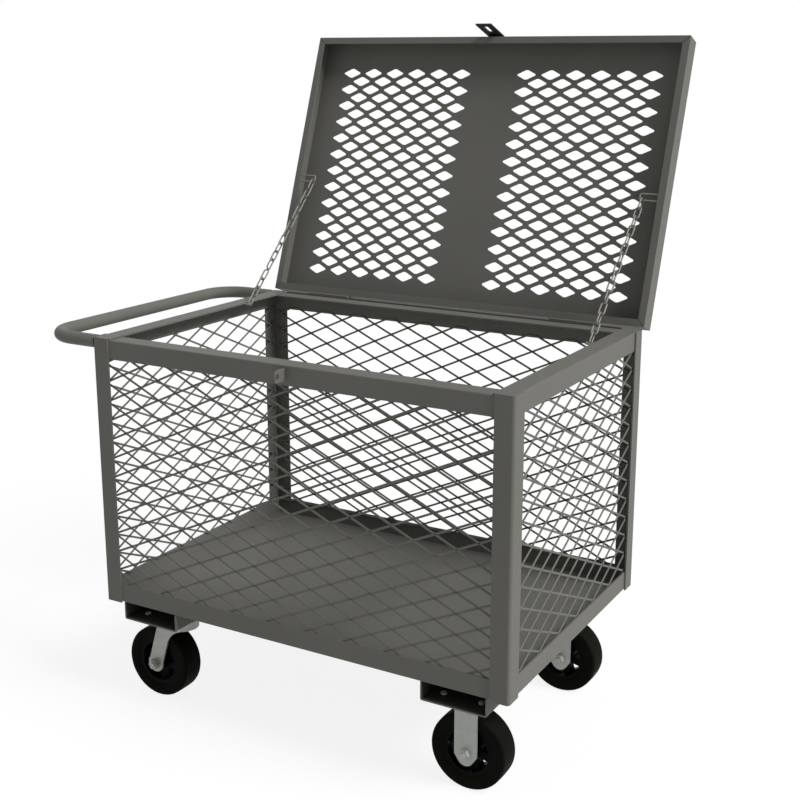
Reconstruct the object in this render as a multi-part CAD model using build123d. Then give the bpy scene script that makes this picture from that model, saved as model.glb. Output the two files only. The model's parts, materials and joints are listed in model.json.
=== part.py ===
from build123d import *
import math
import os

os.makedirs("parts", exist_ok=True)

# Box frame, of steel angle
box_length = 914.4
box_depth = 609.6
post_height = 553.7
post_drop = 1.2
angle_leg = 38.1
angle_wall = 3.2
post_bend = 6.0
rail_bend = 2.5

# Deck pan
deck_sheet = 2.7
deck_lip = 39.0
deck_bend = 3.0

# Expanded-metal panels
mesh_long_way = 86.84
mesh_short_way = 39.67
mesh_strand = 4.2
mesh_thickness = 2.4
mesh_lap = 6.0
mesh_corner_gap = 4.6
mesh_border = 2.5
mesh_least_gap = 60.0
# One bond of each panel: along the panel from its middle, and above the post feet
mesh_bond = {"front": (-41.6, 7.15), "rear": (-43.7, 5.6), "left": (21.7, -1.8), "right": (12.2, 1.05)}

# Casters
caster_height = 190.5
wheel_radius = 76.2
wheel_width = 50.8
tyre_inner_radius = 49.0
tyre_shoulder = 5.5
hub_length = 56.0
hub_boss_radius = 18.0
hub_rim_inner_radius = 42.0
hub_rim_width = 44.0
hub_web = 22.0
hub_windows = 6
hub_turn = 45.0
window_inner_radius = 22.0
window_outer_radius = 40.0
window_inner_width = 7.0
window_outer_width = 28.0
bearing_wall = 4.5
axle_radius = 6.35
axle_clearance = 0.05
axle_head_flats = 19.0
axle_head_height = 8.0
axle_nut_height = 10.0
axle_tail = 3.0
fork_sheet = 4.0
fork_hub_gap = 0.4
fork_hole_clearance = 0.1
rigid_leg_width = 45.7
rigid_foot_drop = 4.0
rigid_toe_radius = 17.0
rigid_toe_drop = 7.5
swivel_toe_radius = 18.5
swivel_leg_width = 33.7
swivel_rake = 16.9
swivel_lead = 36.3
crown_thickness = 17.0
crown_top = 178.0
crown_cap = 6.0
crown_nose = 16.0
crown_rear = 32.0
flare_start = 60.0
flare_end = 32.0
race_radius = 35.0
race_gap = 0.5
fork_race_height = 2.0
kingpin_radius = 8.0
kingpin_clearance = 0.05
kingpin_head_flats = 24.0
kingpin_head_height = 6.0
kingpin_head_gap = 0.3
caster_plate_x = 101.6
caster_plate_y = 114.3
caster_plate_thickness = 6.0
caster_plate_corner = 8.0
caster_from_side = 86.1

# Cross channels and their bolts
channel_from_end = 110.2
channel_width = 133.6
channel_height = 36.2
channel_wall = 3.2
channel_bend = 4.0
bolt_span_x = 76.2
bolt_span_y = 91.0
bolt_radius = 4.76
bolt_hole_clearance = 0.4
bolt_head_radius = 5.8
bolt_head_height = 2.4
bolt_nut_flats = 14.3
bolt_nut_height = 8.0
bolt_nut_clearance = 0.1
bolt_tail = 3.0

# Push handle
handle_tube = 26.7
handle_wall = 2.4
handle_reach = 136.6
handle_bend = 67.9
handle_below_top = 10.9

# Lid pan and its diamond holes
lid_front_overhang = 4.2
lid_rear_overhang = 1.0
lid_height = 42.0
lid_sheet = 1.9
lid_lip = 15.2
lid_fold = 1.5
lid_seat_gap = 0.6
lid_mitre_gap = 1.2
lid_open_angle = 110.0
hole_from_end = 81.9
hole_columns = 6
hole_rows = 13
hole_set_back = 3.5
hole_pitch_x = 58.8
hole_pitch_y = 39.86
hole_long = 50.2
hole_short = 24.9
hole_nose_long = 3.0
hole_nose_short = 1.5

# Lid hinges, a little left of the box's middle
hinges_x = -2.3
hinge_from_end = 153.6
hinge_length = 106.6
hinge_foot_length = 6.0
hinge_leaf = 2.0
hinge_strip_gap = 0.2
hinge_lid_leaf_height = 30.0
hinge_barrel_radius = 3.0
hinge_pin_radius = 1.6
hinge_pin_clearance = 0.05
hinge_end_gap = 0.4
hinge_pin_back = 4.2
hinge_pin_rise = 0.4
hinge_foot = 3.2
hinge_riser = 4.0

# Padlock lug and hasp, each at its own place along the front
lug_x = -2.5
hasp_x = 0.3
lug_thickness = 3.2
lug_height = 23.4
lug_reach = 30.5
lug_below_top = 20.4
lug_corner = 9.0
lug_hole_radius = 5.5
lug_hole_reach = 22.5
hasp_width = 38.5
hasp_sheet = 2.6
hasp_leaf_height = 14.0
hasp_barrel_radius = 3.6
hasp_barrel_stand_off = 7.0
hasp_barrel_rise = 26.0
hasp_knuckle = 16.0
hasp_pin_radius = 1.8
hasp_pin_clearance = 0.05
hasp_gap = 0.5
hasp_reach = 50.3
hasp_slot_width = 10.0
hasp_slot_clearance = 4.5
hasp_corner = 1.5

# Lid chains and their wire eyes
chain_rail_gap = 0.6
chain_links = 15
chain_upper_links = 5
chain_middle_links = 6
link_wire = 3.4
link_width = 15.0
link_bend = 4.6
link_gap = 0.3
link_open_gap = 0.5
eye_wire = 4.0
eye_span = 14.0
eye_bend = 3.5
eye_tip_beyond_chain = 7.0
eye_link_gap = 0.3
lid_eye_from_rear = 270.0
lid_eye_gap = 0.1
rail_eye_from_rear = 168.0

# Places that several pieces share
half_x = box_length / 2
half_y = box_depth / 2
deck_bottom = caster_height + channel_height
post_bottom = deck_bottom - post_drop
post_top = post_bottom + post_height
rail_x = half_x - angle_wall
rail_y = half_y - angle_wall
side_rail_top = post_top
end_rail_top = post_top - angle_wall
deck_lip_top = deck_bottom + deck_lip
lip_plane = post_top + lid_seat_gap
lid_top = lip_plane + lid_height
lid_front = -half_y - lid_front_overhang
lid_rear = half_y + lid_rear_overhang
channel_x = half_x - channel_from_end
caster_y = half_y - caster_from_side
chain_x = rail_x - angle_leg - chain_rail_gap - link_width / 2
pin_y = half_y + hinge_pin_back
pin_z = post_top + hinge_pin_rise
sides = {"left": -1, "right": 1}
ends = {"front": -1, "rear": 1}


def block(x, y, z):
    # A box between two places on each axis
    size = [abs(span[1] - span[0]) for span in (x, y, z)]
    middle = [(span[0] + span[1]) / 2 for span in (x, y, z)]
    return Pos(*middle) * Box(*size)


def rod(radius, start, end, axis):
    # A round bar from start to end along the axis, through the origin
    bar = Pos(0, 0, (start + end) / 2) * Cylinder(radius, abs(end - start))
    turn = {"X": Rot(Y=90), "Y": Rot(X=-90), "Z": Rot()}[axis]
    return turn * bar


def hex_bar(flats, height):
    # A hexagon bar standing on the origin
    return extrude(RegularPolygon(flats / math.sqrt(3), 6), height)


def opened(shape):
    # The closed lid's place turned about the hinge pin to the open place
    return Pos(0, pin_y, pin_z) * Rot(X=-lid_open_angle) * Pos(0, -pin_y, -pin_z) * shape


def opened_point(y, z):
    turned = Vector(0, y - pin_y, z - pin_z).rotate(Axis.X, -lid_open_angle)
    return Vector(0, pin_y, pin_z) + turned


def bend_nearest(solid, axis, place, radius):
    # Round the one edge along the axis that passes nearest to the place
    edge = solid.edges().filter_by(axis).sort_by_distance(place)[0]
    return fillet(edge, radius)


def save(node, *solids):
    shape = solids[0] if len(solids) == 1 else Compound(children=list(solids))
    export_step(shape, f"parts/{node}.step")


# Corner posts
for side, sx in sides.items():
    for end, sy in ends.items():
        across = (sx * (half_x - angle_leg), sx * half_x)
        along = (sy * (half_y - angle_leg), sy * half_y)
        tall = (post_bottom, post_top)
        post = block(across, (sy * rail_y, sy * half_y), tall)
        post += block((sx * rail_x, sx * half_x), along, tall)
        post = bend_nearest(post, Axis.Z, (sx * half_x, sy * half_y, post_top / 2), post_bend)
        save(f"post_{end}_{side}", post)

# Top rails: the side rails' flat legs lie on the front and rear ones
for end, sy in ends.items():
    run = (rail_x - angle_wall, angle_wall - rail_x)
    rail = block(run, (sy * (rail_y - angle_wall), sy * rail_y), (end_rail_top - angle_leg, end_rail_top))
    rail += block(run, (sy * (rail_y - angle_leg), sy * rail_y), (end_rail_top - angle_wall, end_rail_top))
    rail = bend_nearest(rail, Axis.X, (0, sy * rail_y, end_rail_top), rail_bend)
    save(f"rail_{end}", rail)
for side, sx in sides.items():
    run = (-rail_y, rail_y)
    rail = block((sx * (rail_x - angle_wall), sx * rail_x), run, (side_rail_top - angle_leg, side_rail_top))
    rail += block((sx * (rail_x - angle_leg), sx * rail_x), run, (side_rail_top - angle_wall, side_rail_top))
    rail = bend_nearest(rail, Axis.Y, (sx * rail_x, 0, side_rail_top), rail_bend)
    save(f"rail_{side}", rail)

# Deck pan
deck = block((-rail_x, rail_x), (-rail_y, rail_y), (deck_bottom, deck_lip_top))
deck = fillet(deck.faces().sort_by(Axis.Z)[0].edges(), deck_bend)
deck_inside_x = rail_x - deck_sheet
deck_inside_y = rail_y - deck_sheet
deck -= block(
    (-deck_inside_x, deck_inside_x),
    (-deck_inside_y, deck_inside_y),
    (deck_bottom + deck_sheet, deck_lip_top + deck_sheet),
)
save("deck_pan", deck)


def clipped(points, low, high):
    # A convex outline cut to the part between two corners
    for axis in (0, 1):
        for limit, sign in ((low[axis], 1), (high[axis], -1)):
            kept = []
            for here, there in zip(points, points[1:] + points[:1]):
                inside = sign * (here[axis] - limit)
                ahead = sign * (there[axis] - limit)
                if inside >= 0:
                    kept.append(here)
                if inside * ahead < 0:
                    share = inside / (inside - ahead)
                    kept.append([here[i] + share * (there[i] - here[i]) for i in (0, 1)])
            points = kept
    return points


def outline_area(points):
    turns = zip(points, points[1:] + points[:1])
    return abs(sum(a[0] * b[1] - b[0] * a[1] for a, b in turns)) / 2


def holed_sheet(low, high, outlines, thickness):
    # A flat sheet on the XY plane with an opening for each outline
    corners = [(low[0], low[1]), (high[0], low[1]), (high[0], high[1]), (low[0], high[1])]
    border = Wire.make_polygon([Vector(*point) for point in corners])
    openings = [Wire.make_polygon([Vector(*point) for point in outline]) for outline in outlines]
    return extrude(Face(border, openings), thickness, dir=(0, 0, 1))


def mesh_panel(half_width, bottom, top, bond):
    # Strands run corner to corner between bonds, half a diamond apart each way
    step_u = mesh_long_way / 2
    step_v = mesh_short_way / 2
    strand_run = math.hypot(step_u, step_v)
    gap_u = step_u - mesh_strand / 2 * strand_run / step_v
    gap_v = step_v - mesh_strand / 2 * strand_run / step_u
    low = (-half_width + mesh_border, bottom + mesh_border)
    high = (half_width - mesh_border, top - mesh_border)
    first_u = math.floor((low[0] - bond[0]) / step_u)
    last_u = math.ceil((high[0] - bond[0]) / step_u)
    first_v = math.floor((low[1] - bond[1]) / step_v)
    last_v = math.ceil((high[1] - bond[1]) / step_v)
    gaps = []
    for i in range(first_u, last_u + 1):
        for j in range(first_v, last_v + 1):
            if (i + j) % 2 == 0:
                continue
            u = bond[0] + i * step_u
            v = bond[1] + j * step_v
            diamond = [[u - gap_u, v], [u, v - gap_v], [u + gap_u, v], [u, v + gap_v]]
            gap = clipped(diamond, low, high)
            if len(gap) > 2 and outline_area(gap) > mesh_least_gap:
                gaps.append(gap)
    return holed_sheet((-half_width, bottom), (half_width, top), gaps, mesh_thickness)


# Expanded-metal panels, each against the inner face of its rail
mesh_bottom = deck_lip_top - mesh_lap
mesh_face_x = rail_x - angle_wall
mesh_face_y = rail_y - angle_wall
end_mesh_half = mesh_face_x - mesh_thickness - mesh_corner_gap
side_mesh_half = mesh_face_y - mesh_thickness - mesh_corner_gap
for end, sy in ends.items():
    bond = (mesh_bond[end][0], mesh_bond[end][1] + post_bottom)
    panel = mesh_panel(end_mesh_half, mesh_bottom, end_rail_top - angle_leg + mesh_lap, bond)
    outer = -mesh_face_y + mesh_thickness if sy < 0 else mesh_face_y
    save(f"mesh_{end}", Pos(0, outer, 0) * Rot(X=90) * panel)
for side, sx in sides.items():
    bond = (mesh_bond[side][0], mesh_bond[side][1] + post_bottom)
    panel = mesh_panel(side_mesh_half, mesh_bottom, side_rail_top - angle_leg + mesh_lap, bond)
    inner = mesh_face_x - mesh_thickness if sx > 0 else -mesh_face_x
    save(f"mesh_{side}", Pos(inner, 0, 0) * Rot(Z=90) * Rot(X=90) * panel)

# Bolt places, the same four about each caster
caster_places = [(sx * channel_x, sy * caster_y) for sx in sides.values() for sy in ends.values()]
bolt_offsets = [(u * bolt_span_x / 2, v * bolt_span_y / 2) for u in (-1, 1) for v in (-1, 1)]
bolt_places = [(x + u, y + v) for x, y in caster_places for u, v in bolt_offsets]
bolt_hole_radius = bolt_radius + bolt_hole_clearance

# Cross channels, open upwards under the deck
for side, sx in sides.items():
    middle = sx * channel_x
    walls = (middle - channel_width / 2, middle + channel_width / 2)
    run = (-rail_y, rail_y)
    channel = block(walls, run, (caster_height, deck_bottom))
    low_edges = channel.faces().sort_by(Axis.Z)[0].edges().filter_by(Axis.Y)
    channel = fillet(low_edges, channel_bend)
    inside = (walls[0] + channel_wall, walls[1] - channel_wall)
    channel -= block(inside, run, (caster_height + channel_wall, deck_bottom))
    for x, y in bolt_places:
        if x * sx > 0:
            channel -= Pos(x, y, 0) * rod(bolt_hole_radius, caster_height, caster_height + channel_wall, "Z")
    save(f"caster_channel_{side}", channel)

# Caster bolts, with their low heads inside the channels and the nuts under the plates
plate_bottom = caster_height - caster_plate_thickness
head_seat = caster_height + channel_wall
nut_bottom = plate_bottom - bolt_nut_height
bolts = []
nuts = []
for x, y in bolt_places:
    bolt = rod(bolt_head_radius, head_seat, head_seat + bolt_head_height, "Z")
    bolt += rod(bolt_radius, nut_bottom - bolt_tail, head_seat, "Z")
    bolts.append(Pos(x, y, 0) * bolt)
    nut = Pos(0, 0, nut_bottom) * hex_bar(bolt_nut_flats, bolt_nut_height)
    nut -= rod(bolt_radius + bolt_nut_clearance, nut_bottom, plate_bottom, "Z")
    nuts.append(Pos(x, y, 0) * nut)
save("caster_bolts", *bolts)
save("caster_nuts", *nuts)


def caster_plate():
    # A caster's top plate about the bolt pattern's middle
    plate = block(
        (-caster_plate_x / 2, caster_plate_x / 2),
        (-caster_plate_y / 2, caster_plate_y / 2),
        (plate_bottom, caster_height),
    )
    plate = fillet(plate.edges().filter_by(Axis.Z), caster_plate_corner)
    for u, v in bolt_offsets:
        plate -= Pos(u, v, 0) * rod(bolt_hole_radius, plate_bottom, caster_height, "Z")
    return plate


fork_inner = hub_length / 2 + fork_hub_gap
fork_outer = fork_inner + fork_sheet
fork_hole_radius = axle_radius + fork_hole_clearance


def fork_legs(outline):
    # The same leg on both sides of the wheel, drawn in the XZ plane
    leg = extrude(Plane.XZ * outline, fork_sheet)
    return [Pos(0, -fork_inner, 0) * leg, Pos(0, fork_outer, 0) * leg]


# Rigid forks, at the right end
for end, sy in ends.items():
    leg_run = plate_bottom - wheel_radius + rigid_foot_drop
    outline = Pos(0, plate_bottom - leg_run / 2) * Rectangle(rigid_leg_width, leg_run)
    outline += Pos(0, wheel_radius - rigid_toe_drop) * Circle(rigid_toe_radius)
    outline = make_hull(outline.edges())
    outline -= Pos(0, wheel_radius) * Circle(fork_hole_radius)
    fork = caster_plate()
    for leg in fork_legs(outline):
        fork += leg
    save(f"rigid_fork_{end}", Pos(channel_x, sy * caster_y, 0) * fork)

# Swivel top plates with the fixed half of the race, at the left end
race_top = crown_top + fork_race_height + race_gap
kingpin_hole_radius = kingpin_radius + kingpin_clearance
kingpins = []
for end, sy in ends.items():
    place = Pos(-channel_x, sy * caster_y, 0)
    plate = caster_plate() + rod(race_radius, race_top, plate_bottom, "Z")
    plate -= rod(kingpin_radius, race_top, caster_height, "Z")
    save(f"swivel_plate_{end}", place * plate)
    head_top = crown_top - crown_cap - kingpin_head_gap
    kingpin = Pos(0, 0, head_top - kingpin_head_height) * hex_bar(kingpin_head_flats, kingpin_head_height)
    kingpin += rod(kingpin_radius, head_top, caster_height, "Z")
    kingpins.append(place * kingpin)
save("swivel_kingpins", *kingpins)

# Swivel forks, raked back to the trailing wheel, with a flare in front up to the round crown
crown_bottom = crown_top - crown_thickness
rake = math.radians(swivel_rake)
leg_up = Vector(math.sin(rake), math.cos(rake))
leg_right = Vector(math.cos(rake), -math.sin(rake))
swivel_axle = Vector(-swivel_lead, wheel_radius)
rear_low = swivel_axle - leg_right * swivel_leg_width / 2
front_low = swivel_axle + leg_right * swivel_leg_width / 2
rear_top = rear_low + leg_up * ((crown_bottom - rear_low.Y) / leg_up.Y)
rear_peak = Vector(rear_top.X, crown_top)
flare_low = front_low + leg_up * flare_start
flare_top = Vector(flare_end, crown_bottom)
flare_peak = Vector(flare_end, crown_top)
shank = make_face(
    [
        Line(front_low, flare_low),
        TangentArc(flare_low, flare_top, tangent=leg_up),
        Line(flare_top, flare_peak),
        Line(flare_peak, rear_peak),
        Line(rear_peak, rear_top),
        Line(rear_top, rear_low),
        Line(rear_low, front_low),
    ]
)
swivel_outline = shank + Pos(swivel_axle) * Circle(swivel_toe_radius)
swivel_outline -= Pos(swivel_axle) * Circle(fork_hole_radius)


def round_nosed(rear):
    # Plan of the fork from a rear edge to the crown's round nose
    length = crown_nose + rear
    straight = Pos(crown_nose - length / 2, 0) * Rectangle(length, 2 * fork_outer)
    return straight + Pos(crown_nose, 0) * Circle(fork_outer)


fork_room = extrude(round_nosed(swivel_lead + swivel_leg_width), crown_top)
for end, sy in ends.items():
    crown_plan = round_nosed(crown_rear)
    fork = extrude(Pos(0, 0, crown_bottom) * crown_plan, crown_thickness)
    fork -= extrude(Pos(0, 0, crown_bottom) * offset(crown_plan, -fork_sheet), crown_thickness - crown_cap)
    for leg in fork_legs(swivel_outline):
        fork += leg & fork_room
    fork += rod(race_radius, crown_top, crown_top + fork_race_height, "Z")
    fork -= rod(kingpin_hole_radius, crown_bottom, crown_top + fork_race_height, "Z")
    save(f"swivel_fork_{end}", Pos(-channel_x, sy * caster_y, 0) * fork)

# Axle bolts and nuts, nuts to the front
axle_bolt = rod(axle_radius, -fork_outer - axle_nut_height - axle_tail, fork_outer, "Y")
axle_bolt += Pos(0, fork_outer + axle_head_height, 0) * Rot(X=90) * hex_bar(axle_head_flats, axle_head_height)
axle_nut = Pos(0, -fork_outer, 0) * Rot(X=90) * hex_bar(axle_head_flats, axle_nut_height)
axle_nut -= rod(axle_radius + bolt_nut_clearance, -fork_outer - axle_nut_height, -fork_outer, "Y")
rigid_wheel_places = {end: Pos(channel_x, sy * caster_y, wheel_radius) for end, sy in ends.items()}
swivel_wheel_x = -channel_x - swivel_lead
swivel_wheel_places = {end: Pos(swivel_wheel_x, sy * caster_y, wheel_radius) for end, sy in ends.items()}
save("rigid_axles", *[place * axle_bolt for place in rigid_wheel_places.values()])
save("rigid_axle_nuts", *[place * axle_nut for place in rigid_wheel_places.values()])
for end, place in swivel_wheel_places.items():
    save(f"swivel_axle_{end}", place * axle_bolt)
    save(f"swivel_axle_nut_{end}", place * axle_nut)

# Wheels: tyre, spoked hub and bearing sleeve, spinning about Y
bearing_bore = axle_radius + axle_clearance
bearing_radius = bearing_bore + bearing_wall
tyre_section = Pos((tyre_inner_radius + wheel_radius) / 2, 0) * Rectangle(
    wheel_radius - tyre_inner_radius, wheel_width
)
tyre_shoulders = tyre_section.vertices().group_by(Axis.X)[-1]
tyre = revolve(fillet(tyre_shoulders, tyre_shoulder), Axis.Y)
hub = rod(tyre_inner_radius, -hub_rim_width / 2, hub_rim_width / 2, "Y")
hub -= rod(hub_rim_inner_radius, -hub_rim_width / 2, hub_rim_width / 2, "Y")
hub += rod(hub_rim_inner_radius, -hub_web / 2, hub_web / 2, "Y")
hub += rod(hub_boss_radius, -hub_length / 2, hub_length / 2, "Y")
hub -= rod(bearing_radius, -hub_length / 2, hub_length / 2, "Y")
window = Polygon(
    (window_inner_radius, -window_inner_width / 2),
    (window_outer_radius, -window_outer_width / 2),
    (window_outer_radius, window_outer_width / 2),
    (window_inner_radius, window_inner_width / 2),
    align=None,
)
window_cut = Pos(0, hub_web / 2, 0) * extrude(Plane.XZ * window, hub_web)
for number in range(hub_windows):
    hub -= Rot(Y=hub_turn + number * 360 / hub_windows) * window_cut
bearing = rod(bearing_radius, -hub_length / 2, hub_length / 2, "Y")
bearing -= rod(bearing_bore, -hub_length / 2, hub_length / 2, "Y")
for kind, places in (("rigid", rigid_wheel_places), ("swivel", swivel_wheel_places)):
    for end, place in places.items():
        save(f"{kind}_tyre_{end}", place * tyre)
        save(f"{kind}_hub_{end}", place * hub)
        save(f"{kind}_bearing_{end}", place * bearing)

# Push handle: a bent tube welded to the left posts
handle_y = half_y - handle_tube / 2
handle_z = post_top - handle_below_top
handle_path = FilletPolyline(
    (-half_x, -handle_y, handle_z),
    (-half_x - handle_reach, -handle_y, handle_z),
    (-half_x - handle_reach, handle_y, handle_z),
    (-half_x, handle_y, handle_z),
    radius=handle_bend,
)
handle_end = Plane(origin=(-half_x, -handle_y, handle_z), z_dir=(-1, 0, 0))
handle_section = Circle(handle_tube / 2) - Circle(handle_tube / 2 - handle_wall)
save("push_handle", sweep(handle_end * handle_section, handle_path))

# Padlock lug on the front rail
lug_z = post_top - lug_below_top
lug_base = -rail_y
lug_outline = Pos(lug_base - lug_reach / 2, lug_z) * Rectangle(lug_reach, lug_height)
lug_outline = fillet(lug_outline.vertices().group_by(Axis.X)[0], lug_corner)
lug_outline -= Pos(lug_base - lug_hole_reach, lug_z) * Circle(lug_hole_radius)
lug = extrude(Plane.YZ * lug_outline, lug_thickness)
save("padlock_lug", Pos(lug_x - lug_thickness / 2, 0, 0) * lug)

# Lid pan: perforated top, folded flanges and return lips with mitred corners
lid_inside_x = half_x - lid_sheet
lid_inside = (lid_front + lid_sheet, lid_rear - lid_sheet)
lid_span = (lip_plane, lid_top)
flanges = block((-half_x, half_x), (lid_front, lid_rear), lid_span)
flanges = chamfer(flanges.faces().sort_by(Axis.Z)[-1].edges(), lid_fold)
flanges -= block((-lid_inside_x, lid_inside_x), lid_inside, lid_span)
lip_span = (lip_plane, lip_plane + lid_sheet)
lips = block((-half_x, half_x), (lid_front, lid_rear), lip_span)
lip_inner_x = half_x - lid_lip
lips -= block((-lip_inner_x, lip_inner_x), (lid_front + lid_lip, lid_rear - lid_lip), lip_span)
mitre_run = (lid_lip - lid_sheet) * math.sqrt(2) + lid_mitre_gap
mitre = block((-mitre_run, 0), (-lid_mitre_gap / 2, lid_mitre_gap / 2), lip_span)
for sx in sides.values():
    for corner_y, sy in zip(lid_inside, ends.values()):
        turn = math.degrees(math.atan2(sy, sx))
        lips -= Pos(sx * lid_inside_x, corner_y, 0) * Rot(Z=turn) * mitre


def diamond_hole(x, y):
    # A diamond with its four points cut blunt
    long_half = hole_long / 2
    short_half = hole_short / 2
    slope = short_half / long_half
    nose_y = hole_nose_long * slope
    nose_x = hole_nose_short / slope
    return [
        (x + sx * u, y + sy * v)
        for sx, sy, u, v in (
            (-1, 1, long_half - hole_nose_long, nose_y),
            (-1, -1, long_half - hole_nose_long, nose_y),
            (-1, -1, nose_x, short_half - hole_nose_short),
            (1, -1, nose_x, short_half - hole_nose_short),
            (1, -1, long_half - hole_nose_long, nose_y),
            (1, 1, long_half - hole_nose_long, nose_y),
            (1, 1, nose_x, short_half - hole_nose_short),
            (-1, 1, nose_x, short_half - hole_nose_short),
        )
    ]


hole_last_x = half_x - hole_from_end
holes = []
for row in range(2 * hole_rows - 1):
    between = row % 2
    hole_y = (row / 2 - (hole_rows - 1) / 2) * hole_pitch_y + hole_set_back
    for column in range(hole_columns - between):
        hole_x = hole_last_x - (column + between / 2) * hole_pitch_x
        holes += [diamond_hole(sx * hole_x, hole_y) for sx in sides.values()]
sheet = holed_sheet((-lid_inside_x, lid_inside[0]), (lid_inside_x, lid_inside[1]), holes, lid_sheet)
lid = Pos(0, 0, lid_top - lid_sheet) * sheet + flanges + lips
save("lid_pan", opened(lid))

# Lid hinges: a long knuckle on the lid turns on a pin held in a short foot on the strip along the rear rail
hinge_hole_radius = hinge_pin_radius + hinge_pin_clearance
strip_end = half_x - angle_leg - hinge_strip_gap
strip_y = (rail_y, rail_y + hinge_leaf)
hinge_strip = block((-strip_end, strip_end), strip_y, (end_rail_top - angle_leg, post_top))
foot_top = pin_z - hinge_barrel_radius
foot_bottom = foot_top - hinge_foot
riser_y = (pin_y - hinge_riser / 2, pin_y + hinge_riser / 2)
axis_place = Pos(0, pin_y, pin_z)
lid_leaves = []
hinge_pins = []
for sx in sides.values():
    hinge_left = hinges_x + sx * (half_x - hinge_from_end) - hinge_length / 2
    hinge_right = hinge_left + hinge_length
    foot_left = hinge_right - hinge_foot_length
    knuckle_right = foot_left - hinge_end_gap
    lid_leaf = block(
        (hinge_left, knuckle_right),
        (lid_rear, lid_rear + hinge_leaf),
        (pin_z, pin_z + hinge_lid_leaf_height),
    )
    lid_leaf += axis_place * rod(hinge_barrel_radius, hinge_left, knuckle_right, "X")
    lid_leaf -= axis_place * rod(hinge_hole_radius, hinge_left, knuckle_right, "X")
    lid_leaves.append(opened(lid_leaf))
    hinge_strip += block((foot_left, hinge_right), (rail_y, pin_y), (foot_bottom, foot_top))
    hinge_strip += block((foot_left, hinge_right), riser_y, (foot_bottom, pin_z))
    hinge_strip += axis_place * rod(hinge_barrel_radius, foot_left, hinge_right, "X")
    hinge_strip -= axis_place * rod(hinge_pin_radius, foot_left, hinge_right, "X")
    hinge_pins.append(axis_place * rod(hinge_pin_radius, hinge_left, hinge_right, "X"))
save("hinge_lid_leaves", *lid_leaves)
save("hinge_strip", hinge_strip)
save("hinge_pins", *hinge_pins)

# Hasp: leaf on the lid's front flange, strap hung from its pin, slotted over the lug
hasp_axis_y = lid_front - hasp_barrel_stand_off
hasp_axis_z = lip_plane + hasp_barrel_rise
hasp_axis = Pos(hasp_x, hasp_axis_y, hasp_axis_z)
half_hasp = hasp_width / 2
half_knuckle = hasp_knuckle / 2
hasp_hole_radius = hasp_pin_radius + hasp_pin_clearance
leaf_y = (hasp_barrel_stand_off - hasp_sheet, hasp_barrel_stand_off)
hasp_leaf = block((-half_hasp, half_hasp), leaf_y, (hasp_barrel_radius + hasp_gap, hasp_leaf_height))
for sx in sides.values():
    outer_knuckle = (sx * (half_knuckle + hasp_gap), sx * half_hasp)
    hasp_leaf += block(outer_knuckle, leaf_y, (0, hasp_leaf_height))
    hasp_leaf += block(outer_knuckle, (0, hasp_barrel_stand_off), (0, hasp_barrel_radius))
    hasp_leaf += rod(hasp_barrel_radius, *outer_knuckle, "X")
    hasp_leaf -= rod(hasp_pin_radius, *outer_knuckle, "X")
save("hasp_leaf", opened(hasp_axis * hasp_leaf))
save("hasp_pin", opened(hasp_axis * rod(hasp_pin_radius, -half_hasp, half_hasp, "X")))
strap_y = (-hasp_barrel_radius, -hasp_barrel_radius + hasp_sheet)
strap_top = -hasp_barrel_radius - hasp_gap
strap_bottom = -hasp_barrel_rise - hasp_reach
strap = block((-half_hasp, half_hasp), strap_y, (strap_bottom, strap_top))
strap_corners = strap.edges().filter_by(Axis.Y).group_by(Axis.Z)[0]
strap = fillet(strap_corners, hasp_corner)
strap += block((-half_knuckle, half_knuckle), strap_y, (strap_top, 0))
strap += rod(hasp_barrel_radius, -half_knuckle, half_knuckle, "X")
strap -= rod(hasp_hole_radius, -half_knuckle, half_knuckle, "X")
slot_half = lug_height / 2 + hasp_slot_clearance
slot_middle = lug_z - hasp_axis_z
strap -= block(
    (-hasp_slot_width / 2, hasp_slot_width / 2),
    strap_y,
    (slot_middle - slot_half, slot_middle + slot_half),
)
save("hasp_strap", opened(hasp_axis * strap))


def wire_eye(root_x, tip_x, y, z):
    # A U of wire from its root to its tip, with its two legs along X
    tip_line = tip_x + math.copysign(eye_wire / 2, root_x)
    path = FilletPolyline(
        (root_x, y - eye_span / 2, z),
        (tip_line, y - eye_span / 2, z),
        (tip_line, y + eye_span / 2, z),
        (root_x, y + eye_span / 2, z),
        radius=eye_bend,
    )
    start = Plane(origin=path @ 0, z_dir=path % 0)
    return sweep(start * Circle(eye_wire / 2), path)


# Wire eyes for the chains, behind the lid's side lips and on the side rails' flat legs
lid_eye_y = lid_rear - lid_eye_from_rear
lid_eye_z = lip_plane + lid_sheet + lid_eye_gap + eye_wire / 2
rail_eye_y = half_y - rail_eye_from_rear
rail_eye_z = side_rail_top - angle_wall / 2
rail_eye_root = rail_x - angle_leg
eye_tip = chain_x - eye_tip_beyond_chain
lid_eyes = [wire_eye(sx * lid_inside_x, sx * eye_tip, lid_eye_y, lid_eye_z) for sx in sides.values()]
rail_eyes = [wire_eye(sx * rail_eye_root, sx * eye_tip, rail_eye_y, rail_eye_z) for sx in sides.values()]
save("lid_chain_eyes", *[opened(eye) for eye in lid_eyes])
save("rail_chain_eyes", *rail_eyes)

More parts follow.
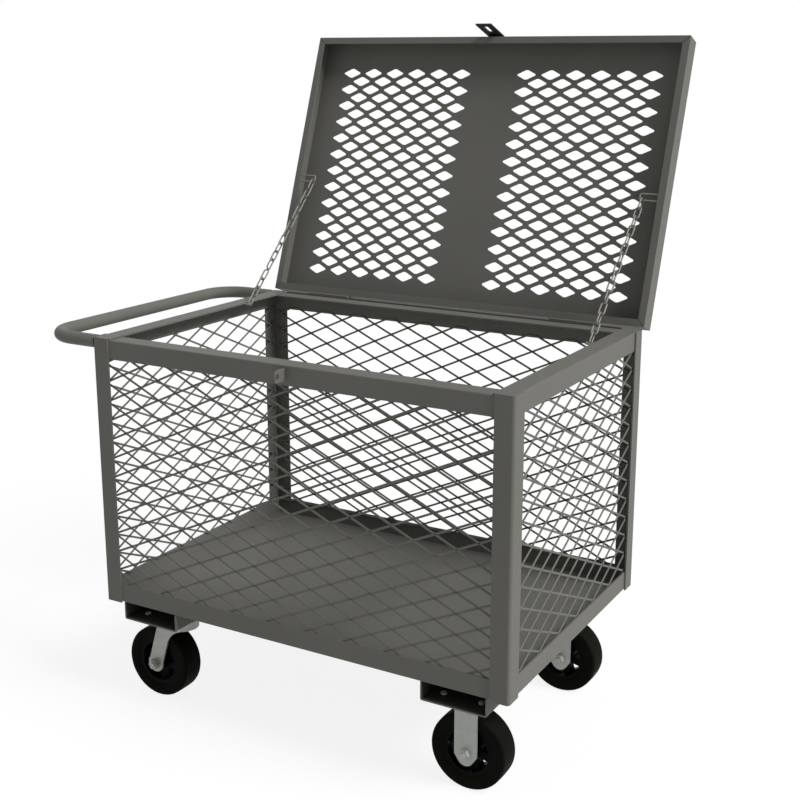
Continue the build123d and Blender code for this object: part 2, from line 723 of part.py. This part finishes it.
# Chain run: a straight line from the lid eye's rear leg to the rail eye's rear leg
chain_start = opened_point(lid_eye_y + eye_span / 2, lid_eye_z)
chain_end = Vector(0, rail_eye_y + eye_span / 2, rail_eye_z)
chain_length = (chain_end - chain_start).length
chain_direction = (chain_end - chain_start).normalized()
hook = eye_wire / 2 + eye_link_gap + link_wire
linked_pairs = chain_links - 2
link_overlap = 2 * link_wire + link_gap
link_outer = (chain_length + 2 * hook + linked_pairs * link_overlap - link_open_gap) / chain_links
link_path = RectangleRounded(link_outer - link_wire, link_width - link_wire, link_bend).face().outer_wire()
link_start = Plane(origin=link_path @ 0, z_dir=link_path % 0)
link = sweep(link_start * Circle(link_wire / 2), link_path)
chain_across = Vector(1, 0, 0)
chain_normal = chain_direction.cross(chain_across)
chain_parts = {"upper": [], "middle": [], "lower": []}
lower_links_from = chain_upper_links + chain_middle_links
link_begin = -hook
for number in range(chain_links):
    middle = chain_start + chain_direction * (link_begin + link_outer / 2)
    facing = chain_across if number % 2 == 0 else chain_normal
    placed = Plane(origin=middle, x_dir=chain_direction, z_dir=facing).location * link
    if number < chain_upper_links:
        chain_parts["upper"].append(placed)
    elif number < lower_links_from:
        chain_parts["middle"].append(placed)
    else:
        chain_parts["lower"].append(placed)
    parted = number == lower_links_from - 1
    link_begin += link_outer + link_open_gap if parted else link_outer - link_overlap
for side, sx in sides.items():
    for part, links in chain_parts.items():
        save(f"chain_{side}_{part}", *[Pos(sx * chain_x, 0, 0) * one for one in links])
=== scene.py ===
import json
import bpy
import numpy as np
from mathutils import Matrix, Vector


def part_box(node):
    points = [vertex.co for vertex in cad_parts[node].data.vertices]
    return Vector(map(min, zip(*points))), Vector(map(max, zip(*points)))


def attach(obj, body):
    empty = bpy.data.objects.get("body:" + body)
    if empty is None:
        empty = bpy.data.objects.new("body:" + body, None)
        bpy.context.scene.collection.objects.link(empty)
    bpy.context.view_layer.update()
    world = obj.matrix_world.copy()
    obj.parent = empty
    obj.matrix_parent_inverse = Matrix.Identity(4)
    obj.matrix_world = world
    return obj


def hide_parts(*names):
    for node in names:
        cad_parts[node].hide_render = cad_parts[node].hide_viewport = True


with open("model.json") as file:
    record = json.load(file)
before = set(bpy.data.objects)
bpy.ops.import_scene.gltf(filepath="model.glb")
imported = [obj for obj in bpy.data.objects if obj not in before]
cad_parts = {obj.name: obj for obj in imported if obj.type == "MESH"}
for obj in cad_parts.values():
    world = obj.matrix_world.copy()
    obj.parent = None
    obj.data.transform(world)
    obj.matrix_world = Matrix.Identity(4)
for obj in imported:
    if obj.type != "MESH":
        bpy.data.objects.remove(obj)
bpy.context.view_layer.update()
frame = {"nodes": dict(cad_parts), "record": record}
nodes = frame["nodes"]
scene = bpy.context.scene
mm = 0.001
sides = ("left", "right")
ends = ("front", "rear")
print("frame loaded:", len(nodes), "nodes")


# Material helpers: every pattern sits on Object coordinates, in metres
def startMaterial(name):
    material = bpy.data.materials.new(name)
    material.use_nodes = True
    tree = material.node_tree
    shader = tree.nodes["Principled BSDF"]
    place = tree.nodes.new("ShaderNodeTexCoord").outputs["Object"]
    return material, tree, shader, place


def plug(tree, value, socket):
    # A link where the value is another node's output, the plain value otherwise
    if isinstance(value, bpy.types.NodeSocket):
        tree.links.new(value, socket)
    else:
        socket.default_value = value


def addNoise(tree, place, scale, detail):
    texture = tree.nodes.new("ShaderNodeTexNoise")
    texture.inputs["Scale"].default_value = scale
    texture.inputs["Detail"].default_value = detail
    tree.links.new(place, texture.inputs["Vector"])
    return texture.outputs["Fac"]


def addStretch(tree, place, scales):
    mapping = tree.nodes.new("ShaderNodeMapping")
    mapping.inputs["Scale"].default_value = scales
    tree.links.new(place, mapping.inputs["Vector"])
    return mapping.outputs["Vector"]


def addRamp(tree, source, spots, values):
    # The first value, a grey or a colour, up to the first spot and the second from the second spot on
    ramp = tree.nodes.new("ShaderNodeValToRGB")
    for element, spot, value in zip(ramp.color_ramp.elements, spots, values):
        colour = (value,) * 3 if np.isscalar(value) else tuple(value)
        element.position = spot
        element.color = (*colour, 1.0)
    tree.links.new(source, ramp.inputs["Fac"])
    return ramp.outputs["Color"]


def addMix(tree, share, first, second, mode="MIX"):
    mix = tree.nodes.new("ShaderNodeMix")
    mix.data_type = "RGBA"
    mix.blend_type = mode
    for name, value in (("Factor", share), ("A", first), ("B", second)):
        plug(tree, value, next(s for s in mix.inputs if s.name == name and s.enabled))
    return next(s for s in mix.outputs if s.enabled)


def addMath(tree, operation, first, second=0.0):
    step = tree.nodes.new("ShaderNodeMath")
    step.operation = operation
    for socket, value in zip(step.inputs, (first, second)):
        plug(tree, value, socket)
    return step.outputs[0]


def addBump(tree, shader, height, depth):
    bump = tree.nodes.new("ShaderNodeBump")
    bump.inputs["Strength"].default_value = 1.0
    bump.inputs["Distance"].default_value = depth
    tree.links.new(height, bump.inputs["Height"])
    tree.links.new(bump.outputs["Normal"], shader.inputs["Normal"])


def setRoughness(tree, shader, source, look):
    rough = addRamp(tree, source, look["roughSpots"], look["rough"])
    tree.links.new(rough, shader.inputs["Roughness"])


def shaded(colour, factor):
    return tuple(min(1.0, part * factor) for part in colour)


# Powder coat: broad soft clouds of tone, a fine grain and a faint orange peel
paintLook = {
    "colour": (0.128, 0.126, 0.114),
    "cloudScale": 4.0,
    "cloudDetail": 4.0,
    "cloudSpots": (0.3, 0.7),
    "cloudTone": (0.95, 1.05),
    "grainScale": 900.0,
    "grainDetail": 2.0,
    "grainSpots": (0.3, 0.7),
    "grainTone": (0.94, 1.0),
    "rough": (0.46, 0.58),
    "roughSpots": (0.25, 0.75),
    "peelScale": 420.0,
    "peelDetail": 2.0,
    "peelDepth": 0.10 * mm,
    "gloss": 0.08,
}


def makePaint(name, look):
    material, tree, shader, place = startMaterial(name)
    cloud = addNoise(tree, place, look["cloudScale"], look["cloudDetail"])
    tones = [shaded(look["colour"], tone) for tone in look["cloudTone"]]
    base = addRamp(tree, cloud, look["cloudSpots"], tones)
    grain = addNoise(tree, place, look["grainScale"], look["grainDetail"])
    fleck = addRamp(tree, grain, look["grainSpots"], look["grainTone"])
    tree.links.new(addMix(tree, 1.0, base, fleck, "MULTIPLY"), shader.inputs["Base Color"])
    setRoughness(tree, shader, cloud, look)
    shader.inputs["Specular IOR Level"].default_value = look["gloss"]
    peel = addNoise(tree, place, look["peelScale"], look["peelDetail"])
    addBump(tree, shader, peel, look["peelDepth"])
    return material


# Zinc plate: a pale metal with a soft mottled bloom and fine rolling marks
zincLook = {
    "colour": (0.33, 0.345, 0.315),
    "bloomScale": 60.0,
    "bloomDetail": 5.0,
    "bloomSpots": (0.35, 0.65),
    "bloomTone": (0.88, 1.06),
    "rough": (0.38, 0.55),
    "roughSpots": (0.3, 0.7),
    "marks": (30.0, 30.0, 900.0),
    "marksDetail": 2.0,
    "marksDepth": 0.04 * mm,
    "metallic": 0.45,
}


def makeZinc(name, look):
    material, tree, shader, place = startMaterial(name)
    bloom = addNoise(tree, place, look["bloomScale"], look["bloomDetail"])
    tones = [shaded(look["colour"], tone) for tone in look["bloomTone"]]
    tree.links.new(addRamp(tree, bloom, look["bloomSpots"], tones), shader.inputs["Base Color"])
    setRoughness(tree, shader, bloom, look)
    shader.inputs["Metallic"].default_value = look["metallic"]
    marks = addNoise(tree, addStretch(tree, place, look["marks"]), 1.0, look["marksDetail"])
    addBump(tree, shader, marks, look["marksDepth"])
    return material


# Rubber: near black, matt, with a faint dusty bloom
rubberLook = {
    "colour": (0.0036, 0.0035, 0.0024),
    "worn": (0.0066, 0.0064, 0.0046),
    "wornScale": 35.0,
    "wornDetail": 5.0,
    "wornSpots": (0.4, 0.75),
    "grainScale": 700.0,
    "grainDetail": 2.0,
    "grainDepth": 0.12 * mm,
    "gloss": 0.025,
    "rough": (0.55, 0.72),
    "roughSpots": (0.3, 0.7),
}

# Black enamel on the cast hubs: glossier, over a slightly pebbled casting
enamelLook = {
    "colour": (0.0014, 0.0014, 0.0015),
    "worn": (0.0032, 0.0032, 0.0035),
    "wornScale": 45.0,
    "wornDetail": 4.0,
    "wornSpots": (0.45, 0.7),
    "grainScale": 260.0,
    "grainDetail": 3.0,
    "grainDepth": 0.3 * mm,
    "gloss": 0.035,
    "rough": (0.36, 0.52),
    "roughSpots": (0.3, 0.7),
}


def makeBlack(name, look):
    material, tree, shader, place = startMaterial(name)
    wear = addNoise(tree, place, look["wornScale"], look["wornDetail"])
    base = addRamp(tree, wear, look["wornSpots"], (look["colour"], look["worn"]))
    tree.links.new(base, shader.inputs["Base Color"])
    setRoughness(tree, shader, wear, look)
    shader.inputs["Specular IOR Level"].default_value = look["gloss"]
    grain = addNoise(tree, place, look["grainScale"], look["grainDetail"])
    addBump(tree, shader, grain, look["grainDepth"])
    return material


# Channels: painted shade, the coat darkened between the walls above the web, where shade falls inside
# the channel
channelShadeLook = {"middle": 347.0 * mm, "halfRoom": 63.8 * mm, "webTop": 193.5 * mm, "paintedShade": 0.30}


def makeChannelShadedPaint(name, look, channel):
    # Painted shade: dark where the distance from a channel's middle line is under half its room
    # and the height is over the web
    material = makePaint(name, look)
    tree = material.node_tree
    shader = tree.nodes["Principled BSDF"]
    coat = shader.inputs["Base Color"].links[0].from_socket
    apart = tree.nodes.new("ShaderNodeSeparateXYZ")
    tree.links.new(tree.nodes["Texture Coordinate"].outputs["Object"], apart.inputs[0])
    fromOrigin = addMath(tree, "ABSOLUTE", apart.outputs["X"])
    fromMiddle = addMath(tree, "ABSOLUTE", addMath(tree, "SUBTRACT", fromOrigin, channel["middle"]))
    between = addMath(tree, "LESS_THAN", fromMiddle, channel["halfRoom"])
    above = addMath(tree, "GREATER_THAN", apart.outputs["Z"], channel["webTop"])
    inside = addMath(tree, "MULTIPLY", between, above)
    # The painted shade's colour: the coat darkened by its factor
    paintedShade = (*shaded(look["colour"], channel["paintedShade"]), 1.0)
    tree.links.new(addMix(tree, inside, coat, paintedShade), shader.inputs["Base Color"])
    return material


chainLook = dict(
    zincLook, colour=(0.175, 0.172, 0.150), bloomScale=160.0, rough=(0.48, 0.62), metallic=0.4,
)
steelLook = dict(zincLook, colour=(0.30, 0.30, 0.29), bloomScale=200.0, metallic=0.8)
boltLook = dict(
    zincLook, colour=(0.80, 0.81, 0.78), bloomScale=220.0, rough=(0.28, 0.45), metallic=0.3,
)
meshLook = dict(paintLook, cloudScale=9.0)
# The hasp's near-black coat is painted shade, standing in for the shade on its underside
haspShadeLook = dict(paintLook, colour=(0.030, 0.030, 0.027), rough=(0.38, 0.5))

# A finish for each slot, and finishes of their own for nodes whose names start with these words
finishes = {
    "grey_powder_coat": makePaint("greyPowderCoat", paintLook),
    "mesh_paint": makePaint("meshPowderCoat", meshLook),
    "chain_zinc": makeZinc("chainZinc", chainLook),
    "caster_zinc": makeZinc("casterZinc", zincLook),
    "bearing_steel": makeZinc("bearingSteel", steelLook),
    "pin_steel": makeZinc("pinSteel", steelLook),
    "hub_black": makeBlack("hubEnamel", enamelLook),
    "tyre_rubber": makeBlack("tyreRubber", rubberLook),
}
haspShadedPaint = makePaint("haspPaintedShade", haspShadeLook)
ownFinishes = {
    "caster_bolts": makeZinc("boltZinc", boltLook),
    "caster_channel": makeChannelShadedPaint("channelCoatPaintedShade", paintLook, channelShadeLook),
    "hasp_leaf": haspShadedPaint,
    "hasp_strap": haspShadedPaint,
}
nodeSlots = {part["node"]: part["material_slot"] for part in frame["record"]["subparts"]}
for nodeName, nodeObject in nodes.items():
    finish = finishes[nodeSlots[nodeName]]
    for start, ownFinish in ownFinishes.items():
        if nodeName.startswith(start):
            finish = ownFinish
    nodeObject.data.materials.clear()
    nodeObject.data.materials.append(finish)
print("finishes set")


# Mesh helpers: a part is a grid of points, its quads and its caps, and several make one piece
def asPart(points, closeRows=False, caps=()):
    # The grid closes round its columns; a cap is a row of point numbers
    rows, columns = points.shape[:2]
    firstRows = np.arange(rows if closeRows else rows - 1)
    i, j = np.meshgrid(firstRows, np.arange(columns), indexing="ij")
    nextI = (i + 1) % rows
    nextJ = (j + 1) % columns
    corners = [i * columns + j, nextI * columns + j, nextI * columns + nextJ, i * columns + nextJ]
    return points.reshape(-1, 3), np.stack(corners, -1).reshape(-1, 4), caps


def makePiece(name, parts, material, body, replaced, sharp):
    starts = np.cumsum([0] + [len(part[0]) for part in parts])
    points = np.concatenate([part[0] for part in parts])
    quads = np.concatenate([part[1] + start for start, part in zip(starts, parts)])
    caps = [(cap + start).tolist() for start, part in zip(starts, parts) for cap in part[2]]
    mesh = bpy.data.meshes.new(name)
    mesh.from_pydata(points.tolist(), [], quads.tolist() + caps)
    mesh.validate()
    mesh.shade_smooth()
    mesh.set_sharp_from_angle(angle=np.radians(sharp))
    mesh.materials.append(material)
    piece = bpy.data.objects.new(name, mesh)
    scene.collection.objects.link(piece)
    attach(piece, body)
    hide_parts(replaced)


def circleProfile(radius, count):
    turn = np.linspace(0, 2 * np.pi, count, endpoint=False)
    return radius * np.stack([np.cos(turn), np.sin(turn)], 1)


def tubePart(path, normal, profile):
    # A profile carried along a flat path: its first measure lies across the path in the
    # path's plane, its second along the plane's normal
    ahead = np.gradient(path, axis=0)
    ahead = ahead / np.linalg.norm(ahead, axis=1, keepdims=True)
    across = np.cross(normal, ahead)
    points = path[:, None] + profile[None, :, :1] * across[:, None] + profile[None, :, 1:] * normal
    rows, columns = points.shape[:2]
    numbers = np.arange(rows * columns)
    return asPart(points, caps=(numbers[:columns], numbers[-columns:][::-1]))


def roundedPath(corners, radius, steps):
    # Straight runs between corners, with an arc of the radius at each inner corner:
    # the arc starts and ends the radius over the half angle's tangent from the corner
    corners = np.asarray(corners, float)
    runs = [corners[:1]]
    for before, corner, after in zip(corners[:-2], corners[1:-1], corners[2:]):
        back = (before - corner) / np.linalg.norm(before - corner)
        ahead = (after - corner) / np.linalg.norm(after - corner)
        half = np.arccos(np.clip(back @ ahead, -1, 1)) / 2
        middle = corner + (back + ahead) / np.linalg.norm(back + ahead) * radius / np.sin(half)
        start = corner + back * radius / np.tan(half) - middle
        sweep = np.linspace(0, np.pi - 2 * half, steps)[:, None]
        side = -back - start * (-back @ start) / radius ** 2
        side = side / np.linalg.norm(side) * radius
        runs.append(middle + np.cos(sweep) * start + np.sin(sweep) * side)
    runs.append(corners[-1:])
    return np.concatenate(runs)


# Expanded-metal panels: each strand is a zigzag that rises and falls between two rows of bonds,
# straight from bond to bond, and the next strand mirrors it and meets it at every bond
strandLook = {
    "longWay": 86.84 * mm,
    "shortWay": 39.67 * mm,
    "width": 4.2 * mm,
    "thickness": 2.4 * mm,
    "edgeCut": 0.28,
    "stepsPerStrand": 9,
    "sharp": 30.0,
    "bonds": {
        "front": (-41.6 * mm, 232.65 * mm),
        "rear": (-43.7 * mm, 231.1 * mm),
        "left": (21.7 * mm, 223.7 * mm),
        "right": (12.2 * mm, 226.55 * mm),
    },
}


def strandProfile(look):
    # A flat bar with its four edges cut back by a share of its thickness
    a, b = look["width"] / 2, look["thickness"] / 2
    cut = look["thickness"] * look["edgeCut"]
    return np.array([
        (a, b - cut), (a - cut, b), (cut - a, b), (-a, b - cut),
        (-a, cut - b), (cut - a, -b), (a - cut, -b), (a, cut - b),
    ])


def strandPanel(panel, look):
    low, high = (np.array(corner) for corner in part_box("mesh_" + panel))
    across = 0 if panel in ends else 1
    depth = 1 - across
    normal = np.eye(3)[depth]
    stepU, stepV = look["longWay"] / 2, look["shortWay"] / 2
    bondU, bondV = look["bonds"][panel]
    half = look["width"] / 2
    strands = int(np.ceil((high[across] - low[across]) / stepU))
    u = np.linspace(low[across], high[across], strands * look["stepsPerStrand"])
    profile = strandProfile(look)
    firstRow = int(np.floor((low[2] - bondV) / stepV))
    lastRow = int(np.ceil((high[2] - bondV) / stepV))
    parts = []
    for row in range(firstRow, lastRow):
        # The strand's height over its row goes from nought to one and back over two steps
        phase = (u - bondU) / stepU + row
        swing = np.abs(phase - 2 * np.round(phase / 2))
        v = np.clip(bondV + (row + swing) * stepV, low[2] + half, high[2] - half)
        if np.ptp(v) < half:
            continue
        path = np.zeros((len(u), 3))
        path[:, across] = u
        path[:, 2] = v
        path[:, depth] = (low[depth] + high[depth]) / 2
        parts.append(tubePart(path, normal, profile))
    return parts


for panel in (*ends, *sides):
    makePiece(
        "strands_" + panel, strandPanel(panel, strandLook), finishes["mesh_paint"],
        "chassis", "mesh_" + panel, strandLook["sharp"],
    )
print("expanded-metal panels made")


# Push handle: a round tube along a U with two wide bends, a hair short of the posts
handleLook = {
    "radius": 13.35 * mm,
    "bend": 67.9 * mm,
    "endGap": 0.15 * mm,
    "count": 28,
    "bendSteps": 22,
    "sharp": 60.0,
}


def handlePart(look):
    low, high = (np.array(corner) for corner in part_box("push_handle"))
    r = look["radius"]
    end = high[0] - look["endGap"]
    z = (low[2] + high[2]) / 2
    corners = [
        (end, low[1] + r, z), (low[0] + r, low[1] + r, z),
        (low[0] + r, high[1] - r, z), (end, high[1] - r, z),
    ]
    path = roundedPath(corners, look["bend"], look["bendSteps"])
    return tubePart(path, np.eye(3)[2], circleProfile(r, look["count"]))


makePiece(
    "handleTube", [handlePart(handleLook)], finishes["grey_powder_coat"],
    "chassis", "push_handle", handleLook["sharp"],
)
print("handle made")


# Tyres: a closed section turned about the axle, with a slightly crowned tread,
# round shoulders and a step down to the hub's rim
tyreLook = {
    "radius": 76.2 * mm,
    "inner": 49.0 * mm,
    "width": 50.8 * mm,
    "shoulder": 5.5 * mm,
    "crown": 0.5 * mm,
    "rimStep": 5.0 * mm,
    "rimCut": 3.5 * mm,
    "segments": 112,
    "arcSteps": 10,
    "treadSteps": 9,
    "sharp": 50.0,
}


def tyreSection(look):
    # Quarter rounds at the shoulders, a tread that falls with the square of the distance
    # from its middle, and a cut at the rim
    outer, inner, half = look["radius"], look["inner"], look["width"] / 2
    bend, cut = look["shoulder"], look["rimCut"]
    sweep = np.linspace(0, np.pi / 2, look["arcSteps"])
    tread = np.linspace(-1, 1, look["treadSteps"])[1:-1]
    rise = outer - look["crown"] - bend + bend * np.sin(sweep)
    right = np.stack([rise, half - bend + bend * np.cos(sweep)], 1)
    middle = np.stack([outer - look["crown"] * tread ** 2, -tread * (half - bend)], 1)
    left = np.stack([right[::-1, 0], -right[::-1, 1]], 1)
    rim = inner + look["rimStep"]
    foot = np.array([(rim, -half), (inner, cut - half), (inner, half - cut), (rim, half)])
    return np.concatenate([right, middle, left, foot])


def turned(profile, segments):
    # Each ring is the section (radius, along the axle) turned by an equal step about Y
    turn = np.linspace(0, 2 * np.pi, segments, endpoint=False)[:, None]
    radius, along = profile[None, :, 0], profile[None, :, 1]
    return np.stack([radius * np.cos(turn), along + 0 * turn, radius * np.sin(turn)], -1)


tyreRings = turned(tyreSection(tyreLook), tyreLook["segments"])
for kind in ("rigid", "swivel"):
    for end in ends:
        node = f"{kind}_tyre_{end}"
        low, high = (np.array(corner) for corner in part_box(node))
        makePiece(
            f"{kind}Tyre_{end}", [asPart(tyreRings + (low + high) / 2, closeRows=True)],
            finishes["tyre_rubber"], f"{kind}_wheel_{end}", node, tyreLook["sharp"],
        )
print("tyres made")


# Camera at the photograph's angle
cameraLook = {
    "place": (1.2959, -2.129455, 1.3108),
    "turn": (76.391, -0.1464, 29.3565),
    "lens": 57.4323,
    "sensor": 36.0,
    "shift": (-0.01947, -0.03987),
}
cameraData = bpy.data.cameras.new("photoCamera")
cameraData.lens = cameraLook["lens"]
cameraData.sensor_fit = "HORIZONTAL"
cameraData.sensor_width = cameraLook["sensor"]
cameraData.shift_x, cameraData.shift_y = cameraLook["shift"]
camera = bpy.data.objects.new("photoCamera", cameraData)
camera.location = cameraLook["place"]
camera.rotation_euler = np.radians(cameraLook["turn"])
scene.collection.objects.link(camera)
scene.camera = camera


# Studio: a pale floor that the camera sees as white with a faint shadow, an even white
# surround and one broad lamp from the right and above
studioLook = {
    "floorSize": 30.0,
    "floorColour": (0.80, 0.80, 0.80),
    "floorRough": 0.9,
    "shadowShare": 0.16,
    "floorGlow": 1.03,
    "surround": 0.31,
    "lampPlace": (4.3, 0.0, 4.8),
    "lampAim": (0.0, 0.0, 0.6),
    "lampSpread": 25.0,
    "lampPower": 3.6,
}


def addSeen(tree):
    # One where the camera, a reflection or a clear surface looks, nought for the light itself
    path = tree.nodes.new("ShaderNodeLightPath")
    total = path.outputs["Is Camera Ray"]
    for name in ("Is Glossy Ray", "Is Transmission Ray"):
        total = addMath(tree, "MAXIMUM", total, path.outputs[name])
    return total


def makeFloor(look):
    half = look["floorSize"] / 2
    corners = [(-half, -half, 0), (half, -half, 0), (half, half, 0), (-half, half, 0)]
    mesh = bpy.data.meshes.new("studioFloor")
    mesh.from_pydata(corners, [], [(0, 1, 2, 3)])
    floor = bpy.data.objects.new("studioFloor", mesh)
    scene.collection.objects.link(floor)
    material = bpy.data.materials.new("studioFloor")
    material.use_nodes = True
    tree = material.node_tree
    shader = tree.nodes["Principled BSDF"]
    shader.inputs["Base Color"].default_value = (*look["floorColour"], 1)
    shader.inputs["Roughness"].default_value = look["floorRough"]
    glow = tree.nodes.new("ShaderNodeEmission")
    glow.inputs["Strength"].default_value = look["floorGlow"]
    share = addMath(tree, "MULTIPLY", addSeen(tree), 1.0 - look["shadowShare"])
    mix = tree.nodes.new("ShaderNodeMixShader")
    for source, socket in zip((share, shader.outputs[0], glow.outputs[0]), mix.inputs):
        tree.links.new(source, socket)
    tree.links.new(mix.outputs[0], tree.nodes["Material Output"].inputs["Surface"])
    mesh.materials.append(material)


def makeSurround(look):
    world = bpy.data.worlds.new("studioSurround")
    scene.world = world
    world.use_nodes = True
    tree = world.node_tree
    background = tree.nodes["Background"]
    background.inputs["Color"].default_value = (1, 1, 1, 1)
    strength = tree.nodes.new("ShaderNodeMapRange")
    tree.links.new(addSeen(tree), strength.inputs["Value"])
    strength.inputs["To Min"].default_value = look["surround"]
    strength.inputs["To Max"].default_value = 1.0
    tree.links.new(strength.outputs["Result"], background.inputs["Strength"])


def makeLamp(look):
    lampData = bpy.data.lights.new("keyLamp", "SUN")
    lampData.angle = np.radians(look["lampSpread"])
    lampData.energy = look["lampPower"]
    lamp = bpy.data.objects.new("keyLamp", lampData)
    lamp.location = look["lampPlace"]
    aim = np.array(look["lampAim"]) - np.array(look["lampPlace"])
    aim = aim / np.linalg.norm(aim)
    lamp.rotation_euler = (np.arccos(-aim[2]), 0, np.arctan2(aim[1], aim[0]) - np.pi / 2)
    scene.collection.objects.link(lamp)


makeFloor(studioLook)
makeSurround(studioLook)
makeLamp(studioLook)
scene.view_settings.view_transform = "Standard"
print("camera and studio set")
